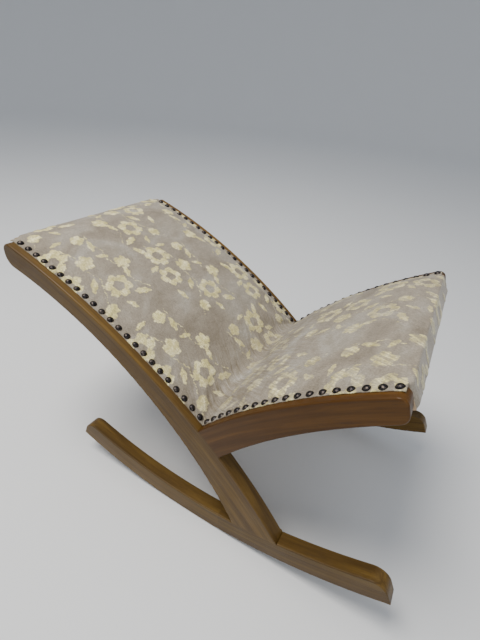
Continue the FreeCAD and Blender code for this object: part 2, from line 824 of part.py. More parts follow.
def make_nails(label, arc, first, pitch, count, y):
    """A row of dome-headed nails round the top of an arc, each with its pin."""
    body = make_body(label)
    sketch = sketch_in(body, "half_nail")
    seat = cell(arc + "_radius") + cell("nail_lift")
    head = cell("nail_head_diameter") / 2
    pin = cell("nail_pin_diameter") / 2
    height = cell("nail_head_height")
    zero = Size("0", 0)
    stops = [(zero, seat + height), (zero, seat - cell("nail_pin_length"))]
    stops += [(pin, seat - cell("nail_pin_length")), (pin, seat), (head, seat)]
    points = [Vector(across.value, 0, up.value) for across, up in stops]
    lines = [draw_line(sketch, points[i], points[i + 1]) for i in range(4)]
    radius = (head * head + height * height) / (height * 2)
    dome = draw_arc(sketch, Arc(radius.value, 0, points[0].z - radius.value), points[4], points[0])
    join(sketch, *[(lines[i], 2, lines[i + 1], 1) for i in range(3)])
    join(sketch, (lines[3], 2, dome, 1), (dome, 2, lines[0], 1))
    for line, stop in zip(lines, stops):
        drive_point(sketch, line, 1, *stop)
    drive_point(sketch, lines[3], 2, *stops[4])
    drive(sketch, radius, "Radius", dome)
    nail = spin(body, sketch, 360, "Z_Axis")
    repeat_round(body, nail, cell(pitch), cell(count))
    centre = arc_from(arc).centre
    body.Placement = placed(centre.x, y, centre.z, turned(dim(first)))
    return body


def make_tacks(label, rail):
    """Flat tacks that hold the cover's end under a cross rail."""
    tacks = []
    half = rail.height.value / 2
    down = rail.outward * -1
    count = int(dim("tack_count"))
    for index in range(count):
        y = (index - (count - 1) / 2) * dim("tack_pitch")
        seat = rail.centre + down * half + Vector(0, y, 0)
        head = doc.addObject("Part::Cylinder", label + "_head")
        head.setExpression("Radius", (cell("tack_head_diameter") / 2).text)
        head.setExpression("Height", cell("tack_head_height").text)
        head.Placement = placed(seat.x, seat.y, seat.z, pointing(down))
        pin = doc.addObject("Part::Cylinder", label + "_pin")
        pin.setExpression("Radius", (cell("nail_pin_diameter") / 2).text)
        pin.setExpression("Height", cell("nail_pin_length").text)
        pin.Placement = placed(seat.x, seat.y, seat.z, pointing(rail.outward))
        tack = doc.addObject("Part::Fuse", label + "_tack")
        tack.Base = head
        tack.Tool = pin
        tacks.append(tack)
    return group(label, tacks)


# ---------------------------------------------------------------- the whole stool

CROTCH_TURN = RAIL_TOP.turn_of(CROTCH)
TOP_END_TURN = RAIL_TOP.turn_of(TIP_TOP) + RAIL_TOP.degrees_for(dim("cover_end_gap"))
FRONT_END_TURN = ARM_TOP.turn_of(ARM_END_TOP) - ARM_TOP.degrees_for(dim("cover_end_gap"))

top_rail = CrossRail("top_rail", RAIL_TOP, TIP_TOP,
                     dim("cover_end_gap") + dim("top_rail_thickness") / 2, 5, wrapped=-1)
front_rail = CrossRail("front_rail", ARM_TOP, ARM_END_TOP,
                       -dim("cover_end_gap") - dim("front_rail_thickness") / 2, 9, wrapped=1)
crotch_rail = CrossRail("crotch_rail", RAIL_TOP, CROTCH, -BEHIND_CROTCH, 10)

long_panel = Panel("long", "rail_top_radius", TOP_END_TURN, CROTCH_TURN, "first")
short_panel = Panel("short", "arm_top_radius", ARM_TOP.turn_of(CROTCH), FRONT_END_TURN, "last")


def make_soft_layers(beds):
    """Webbing, hessian and stuffing for both panels, and the cover that spans them."""
    spare = cell("bed_width") - cell("bed_clearance")
    layers = []
    skins = []
    for panel, beyond in ((long_panel, half_space("front_of_crotch", 1)),
                          (short_panel, half_space("behind_crotch", -1))):
        beds.append(make_layer(panel, "bed_" + panel.name, cell("bed_width"),
                               -BED_DEPTH, BED_DEPTH))
        hessian = make_layer(panel, "hessian_%s_blank" % panel.name, spare,
                             -cell("hessian_thickness"), cell("hessian_thickness"))
        skin, wall = make_cover(panel)
        layers.append(make_webbing(panel))
        layers.append(cut_out("hessian_" + panel.name, hessian, [beyond]))
        layers.append(cut_out("stuffing_" + panel.name, make_stuffing(panel), [beyond]))
        skins += [cut_out("skin_" + panel.name, skin, [beyond]), wall]
    cover = doc.addObject("Part::MultiFuse", "cover_blank")
    cover.Shapes = skins
    return layers, cover


def make_side(side, rail_pegs, beds):
    """One side frame with its nails, and the holes and beds that the other parts need."""
    y = SIDES[side] * NAIL_Y
    rail_nails = make_nails("rail_nails_" + side, "rail_top", "rail_nail_first",
                            "rail_nail_pitch", "rail_nail_count", y)
    arm_nails = make_nails("arm_nails_" + side, "arm_top", "arm_nail_first",
                           "arm_nail_pitch", "arm_nail_count", y)
    arm_pegs = make_joint_dowels("arm_dowels_" + side, CROTCH, ARMPIT, side)
    foot_pegs = make_joint_dowels("foot_dowels_" + side, HEEL, TOE, side)
    in_rail = [rail_nails, arm_pegs, foot_pegs, beds[0]]
    in_arm = [arm_nails, arm_pegs, beds[1]]
    in_rail += [rail_pegs["top_rail"], rail_pegs["crotch_rail"]]
    in_arm += [rail_pegs["front_rail"]]
    rail = cut_out("long_rail_" + side, make_long_rail(side), in_rail)
    arm = cut_out("short_arm_" + side, make_short_arm(side), in_arm)
    rocker = cut_out("rocker_" + side, make_rocker(side), [foot_pegs])
    return [rail, arm, rocker, arm_pegs, foot_pegs], [rail_nails, arm_nails]


def make_stool():
    """Every sub-part of the stool, ready to be written out."""
    beds = []
    parts, cover = make_soft_layers(beds)
    rail_pegs = {rail.name: rail.make_dowels() for rail in (top_rail, front_rail, crotch_rail)}
    tacks = {"top_rail": make_tacks("cover_tacks_top", top_rail),
             "front_rail": make_tacks("cover_tacks_front", front_rail)}
    parts += list(rail_pegs.values()) + list(tacks.values())
    for rail in (top_rail, front_rail, crotch_rail):
        held = [things[rail.name] for things in (rail_pegs, tacks) if rail.name in things]
        parts.append(cut_out(rail.name, rail.make_board(), held))
    all_nails = []
    for side in SIDES:
        pieces, nails = make_side(side, rail_pegs, beds)
        parts += pieces
        all_nails += nails
    parts += all_nails
    parts.append(cut_out("seat_cover", cover, all_nails))
    return parts


def check_document(parts):
    """Stop if anything in the document failed or a sub-part has no sound shape."""
    doc.recompute()
    for item in doc.Objects:
        if "Invalid" in item.State or "Error" in item.State:
            raise RuntimeError("%s failed to compute: %s" % (item.Label, item.State))
    for part in parts:
        if part.Shape.isNull() or not part.Shape.isValid() or part.Shape.Volume <= 0:
            raise RuntimeError(part.Label + " has no sound shape")


def write_parts(parts):
    """Write each sub-part to its own STEP file."""
    os.makedirs("parts", exist_ok=True)
    for part in parts:
        part.Shape.exportStep("parts/%s.step" % part.Label)
        print("%-22s %3d solids %9.1f mm3" % (part.Label, len(part.Shape.Solids),
                                              part.Shape.Volume))


stool_parts = make_stool()
check_document(stool_parts)
write_parts(stool_parts)
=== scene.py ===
import math

import bmesh
import bpy
import numpy as np
from mathutils import Matrix, Vector


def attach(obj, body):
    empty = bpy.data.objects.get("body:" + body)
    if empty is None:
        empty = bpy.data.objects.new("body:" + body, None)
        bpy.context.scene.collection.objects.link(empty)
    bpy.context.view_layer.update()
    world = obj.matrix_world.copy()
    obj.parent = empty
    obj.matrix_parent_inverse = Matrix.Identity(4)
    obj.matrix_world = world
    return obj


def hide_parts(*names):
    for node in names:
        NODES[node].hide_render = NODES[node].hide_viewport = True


# A rocking footstool. Its side frames, rails and nails come from the frame, and get materials
# here. Its velvet cover and two pads are made here. The cover's shape and pattern are worked out
# in millimetres, and everything else is in metres.

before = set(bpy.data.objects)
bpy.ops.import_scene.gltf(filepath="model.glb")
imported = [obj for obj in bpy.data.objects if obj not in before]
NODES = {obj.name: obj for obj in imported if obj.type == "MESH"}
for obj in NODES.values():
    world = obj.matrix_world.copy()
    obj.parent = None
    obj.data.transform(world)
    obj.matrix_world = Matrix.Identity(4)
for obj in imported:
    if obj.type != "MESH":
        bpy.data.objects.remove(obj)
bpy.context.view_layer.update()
scene = bpy.context.scene
MM = 0.001

# The side frames are drawn about the centre of the rockers' arc. That drawing is leaned and
# lifted into the row frame, exactly as the CAD model is.
LEAN = math.radians(-4.8)
ROCKER_CENTRE = Vector((22.25 * MM, 0, 668 * MM))
STOOL = Matrix.Translation(ROCKER_CENTRE) @ Matrix.Rotation(LEAN, 4, "Y")


# ---------------------------------------------------------------- camera and studio

CAMERA_PLACE = Vector((194.7, -466.0, -98.6)) * MM
CAMERA_LOOK = Vector((-0.4224, 0.7582, -0.4966)).normalized()
CAMERA_TURN = math.radians(29.12)
CAMERA_ROLL = math.radians(1.29)
FOCAL_SHARE = 386 / 640   # focal length over the image's longer side


def make_camera():
    """The camera's view of the stool, held to the stool's own drawing."""
    level = Vector((math.cos(CAMERA_TURN), math.sin(CAMERA_TURN), 0))
    up = level.cross(CAMERA_LOOK).normalized()
    level = CAMERA_LOOK.cross(up).normalized()
    across = level * math.cos(CAMERA_ROLL) + up * math.sin(CAMERA_ROLL)
    upward = up * math.cos(CAMERA_ROLL) - level * math.sin(CAMERA_ROLL)
    data = bpy.data.cameras.new("camera")
    data.sensor_width = 36
    data.lens = FOCAL_SHARE * data.sensor_width
    data.clip_start = 0.02
    camera = bpy.data.objects.new("camera", data)
    scene.collection.objects.link(camera)
    axes = Matrix((across, upward, -CAMERA_LOOK)).transposed().to_4x4()
    camera.matrix_world = STOOL @ Matrix.Translation(CAMERA_PLACE) @ axes
    scene.camera = camera


def add_area(name, place, aim, width, watts, colour):
    """A round soft lamp that faces a point."""
    light = bpy.data.lights.new(name, "AREA")
    light.shape = "DISK"
    light.size = width
    light.energy = watts
    light.color = colour
    lamp = bpy.data.objects.new(name, light)
    lamp.location = place
    lamp.rotation_mode = "QUATERNION"
    lamp.rotation_quaternion = (Vector(aim) - Vector(place)).to_track_quat("-Z", "Y")
    scene.collection.objects.link(lamp)


FLOOR_REACH = 5.0
SWEEP_RADIUS = 3.0
SWEEP_STEPS = 12
WALL_HEIGHT = 7.0
SPOKES = 72


def make_studio():
    """A pale floor that sweeps up into a round wall far from the stool, and soft lights."""
    profile = [(0.0, 0.0), (1.0, 0.0), (FLOOR_REACH, 0.0)]
    for step in range(1, SWEEP_STEPS + 1):
        turn = math.pi / 2 * step / SWEEP_STEPS
        profile.append((FLOOR_REACH + SWEEP_RADIUS * math.sin(turn),
                        SWEEP_RADIUS * (1 - math.cos(turn))))
    profile.append((FLOOR_REACH + SWEEP_RADIUS, WALL_HEIGHT))
    points, faces = [], []
    for reach, height in profile:
        for spoke in range(SPOKES):
            turn = 2 * math.pi * spoke / SPOKES
            points.append((reach * math.cos(turn), reach * math.sin(turn), height))
    for ring in range(len(profile) - 1):
        inner, outer = ring * SPOKES, (ring + 1) * SPOKES
        for spoke in range(SPOKES):
            after = (spoke + 1) % SPOKES
            faces.append((inner + spoke, outer + spoke, outer + after, inner + after))
    mesh = bpy.data.meshes.new("floor")
    mesh.from_pydata(points, [], faces)
    mesh.shade_smooth()
    mesh.materials.append(new_material("floor_paint", (0.72, 0.73, 0.74), 0.65)[0])
    floor = bpy.data.objects.new("floor", mesh)
    scene.collection.objects.link(floor)
    world = bpy.data.worlds.new("studio")
    world.use_nodes = True
    backdrop = world.node_tree.nodes["Background"]
    backdrop.inputs["Color"].default_value = (0.80, 0.84, 0.90, 1)
    backdrop.inputs["Strength"].default_value = 0.7
    scene.world = world
    stool_middle = (0, 0, 0.2)
    add_area("key", (-0.6, -0.5, 2.3), stool_middle, 1.2, 62, (1.0, 0.96, 0.90))
    add_area("fill", (1.6, -1.8, 1.2), stool_middle, 1.6, 16, (0.94, 0.97, 1.0))


# ---------------------------------------------------------------- materials

class Nodes:
    """Shader nodes made and linked in one call each."""

    def __init__(self, tree):
        self.tree = tree

    def add(self, kind, inputs=None, **settings):
        """A node with its settings made, and its inputs linked or set."""
        node = self.tree.nodes.new("ShaderNode" + kind)
        for name, value in settings.items():
            setattr(node, name, value)
        for key, value in (inputs or {}).items():
            if isinstance(value, bpy.types.NodeSocket):
                self.tree.links.new(value, node.inputs[key])
            else:
                node.inputs[key].default_value = value
        return node

    def math(self, operation, *values):
        return self.add("Math", dict(enumerate(values)), operation=operation).outputs[0]

    def vector(self, operation, *values):
        return self.add("VectorMath", dict(enumerate(values)), operation=operation).outputs[0]

    def noise(self, vector, scale, detail=3.0, roughness=0.5, distortion=0.0):
        return self.add("TexNoise", {"Vector": vector, "Scale": scale, "Detail": detail,
                                     "Roughness": roughness, "Distortion": distortion}).outputs[0]

    def spread(self, value, low, high, to_low=0.0, to_high=1.0):
        """Stretch a value from one range to another and hold it there."""
        return self.add("MapRange", {0: value, 1: low, 2: high, 3: to_low, 4: to_high}).outputs[0]

    def ramp(self, value, *stops):
        """A colour for each value, from stops of place and colour."""
        node = self.add("ValToRGB", {0: value})
        elements = node.color_ramp.elements
        while len(elements) < len(stops):
            elements.new(0.5)
        for element, (place, colour) in zip(elements, stops):
            element.position = place
            element.color = (*colour, 1)
        return node.outputs[0]

    def mix(self, factor, first, second, blend="MIX"):
        """Two colours, or sockets, put together."""
        node = self.add("Mix", data_type="RGBA", blend_type=blend)
        for index, value in ((0, factor), (6, first), (7, second)):
            if isinstance(value, bpy.types.NodeSocket):
                self.tree.links.new(value, node.inputs[index])
            elif index == 0:
                node.inputs[0].default_value = value
            else:
                node.inputs[index].default_value = (*value, 1)
        return node.outputs[2]

    def bump(self, height, distance, strength):
        return self.add("Bump", {"Height": height, "Distance": distance,
                                 "Strength": strength}).outputs[0]


def new_material(name, colour, roughness):
    """A material with its main shader and a maker of nodes for it."""
    material = bpy.data.materials.new(name)
    material.use_nodes = True
    shader = material.node_tree.nodes["Principled BSDF"]
    shader.inputs["Base Color"].default_value = (*colour, 1)
    shader.inputs["Roughness"].default_value = roughness
    return material, shader, Nodes(material.node_tree)


def feed(nodes, shader, **sockets):
    """Link sockets to the shader's inputs, which go by the same names."""
    for name, socket in sockets.items():
        nodes.tree.links.new(socket, shader.inputs[name.replace("_", " ").title()])


def drawing_place(nodes):
    """The surface's place in the drawing that the side frames are made in."""
    here = nodes.add("TexCoord").outputs["Object"]
    lifted = nodes.vector("SUBTRACT", here, tuple(ROCKER_CENTRE))
    return nodes.add("VectorRotate", {"Vector": lifted, "Axis": (0, 1, 0), "Angle": -LEAN}).outputs[0]


def along_arc(nodes, arc):
    """Grain coordinates of a bent board: along its arc, out from the centre, and across."""
    part = nodes.add("SeparateXYZ", {0: drawing_place(nodes)}).outputs
    dx = nodes.math("SUBTRACT", part[0], arc.x * MM)
    dz = nodes.math("SUBTRACT", part[2], arc.z * MM)
    length = nodes.math("MULTIPLY", nodes.math("ARCTAN2", dx, dz), arc.radius * MM)
    reach = nodes.math("SQRT", nodes.math("ADD", nodes.math("MULTIPLY", dx, dx),
                                          nodes.math("MULTIPLY", dz, dz)))
    return nodes.add("CombineXYZ", {0: length, 1: reach, 2: part[1]}).outputs[0]


def walnut(name, arc, shift, tint):
    """Brown lacquered wood whose grain follows one arc of the drawing."""
    material, shader, nodes = new_material(name, (0.13, 0.07, 0.03), 0.34)
    grain = along_arc(nodes, arc)
    grain = nodes.vector("ADD", grain, (shift, shift * 0.7, shift * 1.3))
    streaks = nodes.noise(nodes.vector("MULTIPLY", grain, (5, 150, 110)), 1.0, 6, 0.62, 0.5)
    bands = nodes.noise(nodes.vector("MULTIPLY", grain, (1.6, 34, 26)), 1.0, 3, 0.5, 0.8)
    pores = nodes.noise(nodes.vector("MULTIPLY", grain, (60, 1500, 1300)), 1.0, 2, 0.6)
    colour = nodes.ramp(streaks, (0.24, (0.052, 0.029, 0.009)), (0.45, (0.092, 0.053, 0.014)),
                        (0.60, (0.128, 0.076, 0.019)), (0.80, (0.180, 0.112, 0.030)))
    warm = nodes.ramp(bands, (0.30, (0.66, 0.62, 0.60)), (0.70, (1.28, 1.24, 1.12)))
    colour = nodes.mix(1.0, colour, warm, "MULTIPLY")
    colour = nodes.mix(1.0, colour, tint, "MULTIPLY")
    dark_pores = nodes.spread(pores, 0.60, 0.72)
    colour = nodes.mix(nodes.math("MULTIPLY", dark_pores, 0.45), colour, (0.022, 0.012, 0.007))
    wear = nodes.noise(drawing_place(nodes), 14, 4, 0.6)
    rough = nodes.spread(wear, 0.30, 0.72, 0.32, 0.52)
    height = nodes.math("SUBTRACT", nodes.math("MULTIPLY", streaks, 0.5), dark_pores)
    feed(nodes, shader, base_color=colour, roughness=rough,
         normal=nodes.bump(height, 0.00012, 0.5))
    shader.inputs["Coat Weight"].default_value = 0.06
    shader.inputs["Coat Roughness"].default_value = 0.22
    shader.inputs["IOR"].default_value = 1.42
    shader.inputs["Specular IOR Level"].default_value = 0.22
    return material


def plain_wood(name, light, dark, axis_scale):
    """Bare planed wood with straight grain."""
    material, shader, nodes = new_material(name, light, 0.62)
    here = nodes.vector("MULTIPLY", drawing_place(nodes), axis_scale)
    streaks = nodes.noise(here, 1.0, 5, 0.6, 0.4)
    colour = nodes.ramp(streaks, (0.30, dark), (0.70, light))
    flecks = nodes.noise(nodes.vector("MULTIPLY", here, (3.0, 3.0, 3.0)), 1.0, 2)
    colour = nodes.mix(nodes.spread(flecks, 0.62, 0.75, 0, 0.5), colour, dark)
    feed(nodes, shader, base_color=colour, roughness=nodes.spread(streaks, 0.3, 0.7, 0.55, 0.75),
         normal=nodes.bump(streaks, 0.0003, 0.5))
    return material


def metal(name, colour, bright, roughness):
    """Dark tarnished metal, rubbed brighter in places."""
    material, shader, nodes = new_material(name, colour, roughness)
    here = nodes.add("TexCoord").outputs["Object"]
    tarnish = nodes.noise(here, 420, 4, 0.6)
    rubbed = nodes.spread(tarnish, 0.48, 0.72)
    feed(nodes, shader, base_color=nodes.mix(rubbed, colour, bright),
         roughness=nodes.spread(tarnish, 0.3, 0.7, roughness - 0.1, roughness + 0.15),
         normal=nodes.bump(nodes.noise(here, 900, 2), 0.0001, 0.4))
    shader.inputs["Metallic"].default_value = 0.9
    return material


SLOPE_STRETCH = 1.25   # length along a sloping rest over its level length


def woven(name, light, dark, pitch):
    """A plain weave of coarse yarn, its threads running along and across the stool."""
    material, shader, nodes = new_material(name, light, 0.9)
    here = drawing_place(nodes)
    part = nodes.add("SeparateXYZ", {0: here}).outputs
    along = nodes.math("MULTIPLY", part[0], SLOPE_STRETCH)
    turns = 2 * math.pi / pitch
    warp = nodes.math("SINE", nodes.math("MULTIPLY", along, turns))
    weft = nodes.math("SINE", nodes.math("MULTIPLY", part[1], turns))
    yarn = nodes.spread(nodes.math("MULTIPLY", warp, weft), -1, 1)
    slub = nodes.noise(nodes.vector("MULTIPLY", here, (60, 700, 60)), 1.0, 3)
    colour = nodes.mix(nodes.math("MULTIPLY", yarn, slub), dark, light)
    feed(nodes, shader, base_color=colour, normal=nodes.bump(yarn, 0.0006, 0.7))
    shader.inputs["Sheen Weight"].default_value = 0.15
    return material


CRUSHED_AT = 35 * MM   # the middle of the crushed pile and of its painted sheen streaks and painted crease shade, a little up the short rest


def velvet():
    """Taupe velvet with a raised cream pattern, brushed both ways and crushed near the fold, where
    slanting streaks of painted sheen and painted crease shade run through the ground colour.

    The motif attribute says where the pattern is, and the cloth map gives the place on the flat
    cloth in metres, from the fold and from the middle.
    """
    material, shader, nodes = new_material("velvet", (0.30, 0.27, 0.235), 0.82)
    cloth = nodes.add("UVMap", uv_map="cloth").outputs[0]
    motif = nodes.add("Attribute", attribute_name="motif").outputs["Fac"]
    brushed = nodes.noise(nodes.vector("MULTIPLY", cloth, (17, 12, 1)), 1.0, 4, 0.55, 0.7)
    mottle = nodes.noise(nodes.vector("MULTIPLY", cloth, (95, 60, 1)), 1.0, 4, 0.6)
    ribs = nodes.noise(nodes.vector("MULTIPLY", cloth, (520, 1300, 1)), 1.0, 2, 0.6)
    tufts = nodes.noise(nodes.vector("MULTIPLY", cloth, (260, 700, 1)), 1.0, 3, 0.6, 0.6)
    slanting = nodes.add("VectorRotate", {"Vector": cloth, "Axis": (0, 0, 1),
                                          "Angle": 0.5}).outputs[0]
    # Slanting streaks near the fold: they bump the crushed pile, and they paint sheen (lighter) and
    # crease shade (darker) into the ground colour.
    lines = nodes.noise(nodes.vector("MULTIPLY", slanting, (26, 330, 1)), 1.0, 3, 0.55, 0.9)
    along = nodes.add("SeparateXYZ", {0: cloth}).outputs[0]
    from_crush = nodes.math("ABSOLUTE", nodes.math("SUBTRACT", along, CRUSHED_AT))
    crush_and_sheen = nodes.math("ADD", 0.5, nodes.math(
        "MULTIPLY", nodes.math("SUBTRACT", lines, 0.5),
        nodes.spread(from_crush, 0.03, 0.13, 1.0, 0.12)))
    ground = nodes.ramp(brushed, (0.32, (0.200, 0.173, 0.150)), (0.52, (0.268, 0.240, 0.218)),
                        (0.72, (0.350, 0.335, 0.330)))
    ground = nodes.mix(1.0, ground, nodes.ramp(mottle, (0.3, (0.88, 0.87, 0.86)),
                                               (0.7, (1.10, 1.10, 1.10))), "MULTIPLY")
    ground = nodes.mix(1.0, ground, nodes.ramp(ribs, (0.25, (0.70, 0.70, 0.69)),
                                               (0.75, (1.26, 1.26, 1.27))), "MULTIPLY")
    # Painted sheen streaks and painted crease shade near the fold, along the crushed pile's slanting
    # lines.
    ground = nodes.mix(1.0, ground, nodes.ramp(crush_and_sheen, (0.32, (0.74, 0.69, 0.52)),
                                               (0.68, (1.24, 1.24, 1.18))), "MULTIPLY")
    ground = nodes.mix(1.0, ground, nodes.ramp(tufts, (0.32, (0.82, 0.81, 0.77)),
                                               (0.66, (1.16, 1.16, 1.15))), "MULTIPLY")
    cream = nodes.ramp(mottle, (0.28, (0.46, 0.41, 0.17)), (0.48, (0.72, 0.65, 0.33)),
                       (0.68, (0.94, 0.88, 0.60)))
    cream = nodes.mix(1.0, cream, nodes.ramp(tufts, (0.30, (0.62, 0.58, 0.50)),
                                             (0.66, (1.12, 1.12, 1.10))), "MULTIPLY")
    cream = nodes.mix(1.0, cream, nodes.ramp(ribs, (0.30, (0.74, 0.72, 0.64)),
                                             (0.70, (1.16, 1.16, 1.14))), "MULTIPLY")
    worn = nodes.spread(brushed, 0.38, 0.68, 0.98, 0.72)
    worn = nodes.math("MULTIPLY", worn, nodes.spread(tufts, 0.25, 0.45, 0.72, 1.0))
    worn = nodes.math("MULTIPLY", worn, nodes.spread(from_crush, 0.02, 0.09, 0.5, 1.0))
    rubbed = nodes.math("MULTIPLY", nodes.spread(along, -0.02, 0.05),
                        nodes.spread(lines, 0.42, 0.58, 0.75, 0.0))
    worn = nodes.math("MULTIPLY", worn, nodes.math("SUBTRACT", 1.0, rubbed))
    ragged = nodes.math("ADD", motif, nodes.math(
        "MULTIPLY", nodes.math("SUBTRACT", tufts, 0.5), 0.9))
    motif = nodes.spread(ragged, 0.36, 0.62, 0.0, 1.0)
    colour = nodes.mix(nodes.math("MULTIPLY", motif, worn), ground, cream)
    height = nodes.math("ADD", nodes.math("MULTIPLY", ribs, 0.7), nodes.math("MULTIPLY", mottle, 0.6))
    height = nodes.math("ADD", height, nodes.math("MULTIPLY", crush_and_sheen, 1.6))
    feed(nodes, shader, base_color=colour, normal=nodes.bump(height, 0.0004, 0.5))
    shader.inputs["Sheen Weight"].default_value = 0.32
    shader.inputs["Sheen Roughness"].default_value = 0.38
    shader.inputs["Sheen Tint"].default_value = (0.92, 0.91, 0.90, 1)
    shader.inputs["Specular IOR Level"].default_value = 0.25
    return material


# ---------------------------------------------------------------- the shape of the cover

class Arc:
    """A circle of the drawing, in millimetres; turns are radians from upright towards +x."""

    def __init__(self, centre_x, centre_z, radius):
        self.x, self.z, self.radius = centre_x, centre_z, radius

    def turn_of(self, x):
        return math.asin((x - self.x) / self.radius)

    def x_at(self, turn):
        return self.x + self.radius * math.sin(turn)

    def z_at(self, x, lift):
        """The height at each x of the circle that lies lift outside this one."""
        return self.z + np.sqrt(np.maximum((self.radius + lift) ** 2 - (x - self.x) ** 2, 0))


LONG = Arc(-671.4, -1171.9, 945)   # the long rails' top edge
SHORT = Arc(513.5, -1007.9, 758)   # the short arms' top edge
ROCKER = Arc(0, 0, 668)            # the rockers' foot
CROTCH_X = -29.17                  # where the two top edges meet
END_GAP = 4                        # from a board's end to the cover's end
LONG_END = LONG.turn_of(-361.7) + END_GAP / LONG.radius
SHORT_END = SHORT.turn_of(198.3) - END_GAP / SHORT.radius
NAIL_Y = 155       # the nail rows
WALL_Y = 148.4     # just inside the boards' inner faces
HEM_Y = 160        # the cover's hems
WALL_ROUND = 6     # the turned-down ends' upright corners
CLOTH_LIFT = 1.5   # the cloth over the boards' top edges
HEM_ROUND = 2.2    # the width over which a hem curls down
HEM_LIFT = 0.15    # the hem's outermost line over the boards
BED_ROUND = 4      # from the nails to where the padding starts to rise


def across_profile(y):
    """How the padding rises from the nails to the middle: quickly at first, then slowly."""
    inward = np.clip((NAIL_Y - BED_ROUND - np.abs(y)) / (NAIL_Y - BED_ROUND), 0, 1)
    return 0.60 * (1 - (1 - inward) ** 9) + 0.40 * (1 - (1 - inward) ** 2)


class Rest:
    """How one rest is padded, in millimetres.

    The crown is the padding's height, and it falls away over end_run towards the rest's end. The
    boards' ends are rounded by end_round. The nails pull the cloth down at each nail_pitch.
    """

    def __init__(self, arc, crown, end_run, end_round, nail_pitch, first_nail):
        self.arc = arc
        self.crown = crown
        self.end_run = end_run
        self.end_round = end_round
        self.nail_pitch = nail_pitch
        self.first_nail = first_nail

    def lift(self, y, from_end, from_crotch):
        """The cloth's height over the boards' top edges."""
        ends = 1 - (1 - np.clip(from_end / self.end_run, 0, 1)) ** 2.4
        fold = 0.45 + 0.55 * np.clip(from_crotch / 110, 0, 1) ** 0.8
        lift = CLOTH_LIFT + self.crown * across_profile(y) * ends * fold
        inward = np.clip(NAIL_Y - np.abs(y), 0, None)
        pull = np.cos(2 * math.pi * (from_crotch - self.first_nail) / self.nail_pitch)
        lift -= 0.55 * (pull + 0.4) * np.exp(-inward / 11) * np.clip(inward / 6 + 0.35, 0, 1)
        bend = np.clip(self.end_round - END_GAP - from_end, 0, self.end_round - 0.1)
        over_board = np.clip((np.abs(y) - WALL_Y + WALL_ROUND) / WALL_ROUND, 0, 1)
        lift -= over_board * (self.end_round - np.sqrt(self.end_round ** 2 - bend ** 2))
        hem = np.clip((np.abs(y) - (HEM_Y - HEM_ROUND)) / HEM_ROUND, 0, 1)
        return lift - (CLOTH_LIFT - HEM_LIFT) * (1 - np.sqrt(np.clip(1 - hem ** 2, 0, 1)))


LONG_REST = Rest(LONG, 17, 78, 11, LONG.radius * math.radians(0.99), 9.0)
SHORT_REST = Rest(SHORT, 14, 62, 9, SHORT.radius * math.radians(1.17), 7.0)
FOLD_ROUND = 34    # the difference in height over which the rests blend, in the middle


def crease_lift(y, run):
    """Soft creases that spread from the fold's two ends; run is the distance from the fold."""
    inward = np.clip(NAIL_Y - np.abs(y), 0.1, None)
    reach = np.hypot(inward, run)
    angle = np.arctan2(np.abs(run), inward)
    side = np.where(y > 0, 1.3, 0.0) + np.where(run > 0, 0.9, 0.0)
    wave = np.sin(angle * 9 + side) + 0.6 * np.sin(angle * 17 + 2 * side + 0.8)
    return 0.75 * wave * np.exp(-((reach - 46) / 40) ** 2)


def cover_height(x, y, sink=0.0):
    """The cover's height in the drawing: two padded rests that meet in a soft fold."""
    tops = []
    for rest, end, way in ((LONG_REST, LONG_END, -1), (SHORT_REST, SHORT_END, 1)):
        arc = rest.arc
        turn = np.arcsin(np.clip((x - arc.x) / arc.radius, -1, 1))
        run = way * (turn - arc.turn_of(CROTCH_X)) * arc.radius
        from_end = way * (end - turn) * arc.radius
        lift = rest.lift(y, from_end, np.maximum(run, 0)) + crease_lift(y, run)
        tops.append(arc.z_at(x, lift - sink))
    long_z, short_z = tops
    rounding = FOLD_ROUND * np.clip((NAIL_Y + 3 - np.abs(y)) / 75, 0.03, 1)
    gap = np.clip(0.5 + 0.5 * (long_z - short_z) / rounding, 0, 1)
    return short_z * (1 - gap) + long_z * gap + rounding * gap * (1 - gap)


# ---------------------------------------------------------------- the cover's pattern

def inside(depth, softness):
    """From 0 outside a shape to 1 inside it, over a soft edge."""
    return np.clip(depth / softness + 0.5, 0, 1)


def ring_flower(da, db, size, turn):
    """A ring of six petals round an open middle."""
    reach = np.hypot(da, db) / size
    angle = 3 * (np.arctan2(db, da) - turn)
    edge = 0.70 + 0.36 * np.abs(np.cos(angle)) ** 0.6
    slits = np.clip(1 - np.abs(np.sin(angle - math.pi / 2)) * reach * size / 1.2, 0, 1)
    return inside((edge - reach) * size, 2.2) * inside((reach - 0.44) * size, 1.6) * (1 - 0.55 * slits)


def full_flower(da, db, size, turn):
    """A small blossom of five petals that is filled in."""
    reach = np.hypot(da, db) / size
    edge = 0.66 + 0.36 * np.abs(np.cos(2.5 * (np.arctan2(db, da) - turn))) ** 0.6
    dots = 0.78 + 0.22 * np.sin(da * 2.1) * np.sin(db * 2.1)
    return inside((edge - reach) * size, 2.2) * dots


def leaf(da, db, size, turn):
    """A pointed leaf with a thin line along its middle."""
    along = da * math.cos(turn) + db * math.sin(turn)
    across = -da * math.sin(turn) + db * math.cos(turn)
    half = size * 0.36 * np.clip(1 - (along / size) ** 2, 0, 1)
    body = np.clip((half - np.abs(across)) / 1.8 + 0.4, 0, 1) * (np.abs(along) < size)
    vein = 1 - 0.5 * np.clip(1 - np.abs(across) / 0.8, 0, 1)
    return body * vein


STEM_HALF = 0.6


def stem(a, b, points):
    """A thin raised cord along a run of short straight lines."""
    near = np.full(a.shape, 1e3)
    for (a0, b0), (a1, b1) in zip(points, points[1:]):
        da, db = a1 - a0, b1 - b0
        along = np.clip(((a - a0) * da + (b - b0) * db) / (da * da + db * db), 0, 1)
        near = np.minimum(near, np.hypot(a - a0 - along * da, b - b0 - along * db))
    return 0.7 * inside(STEM_HALF - near, 1.0)


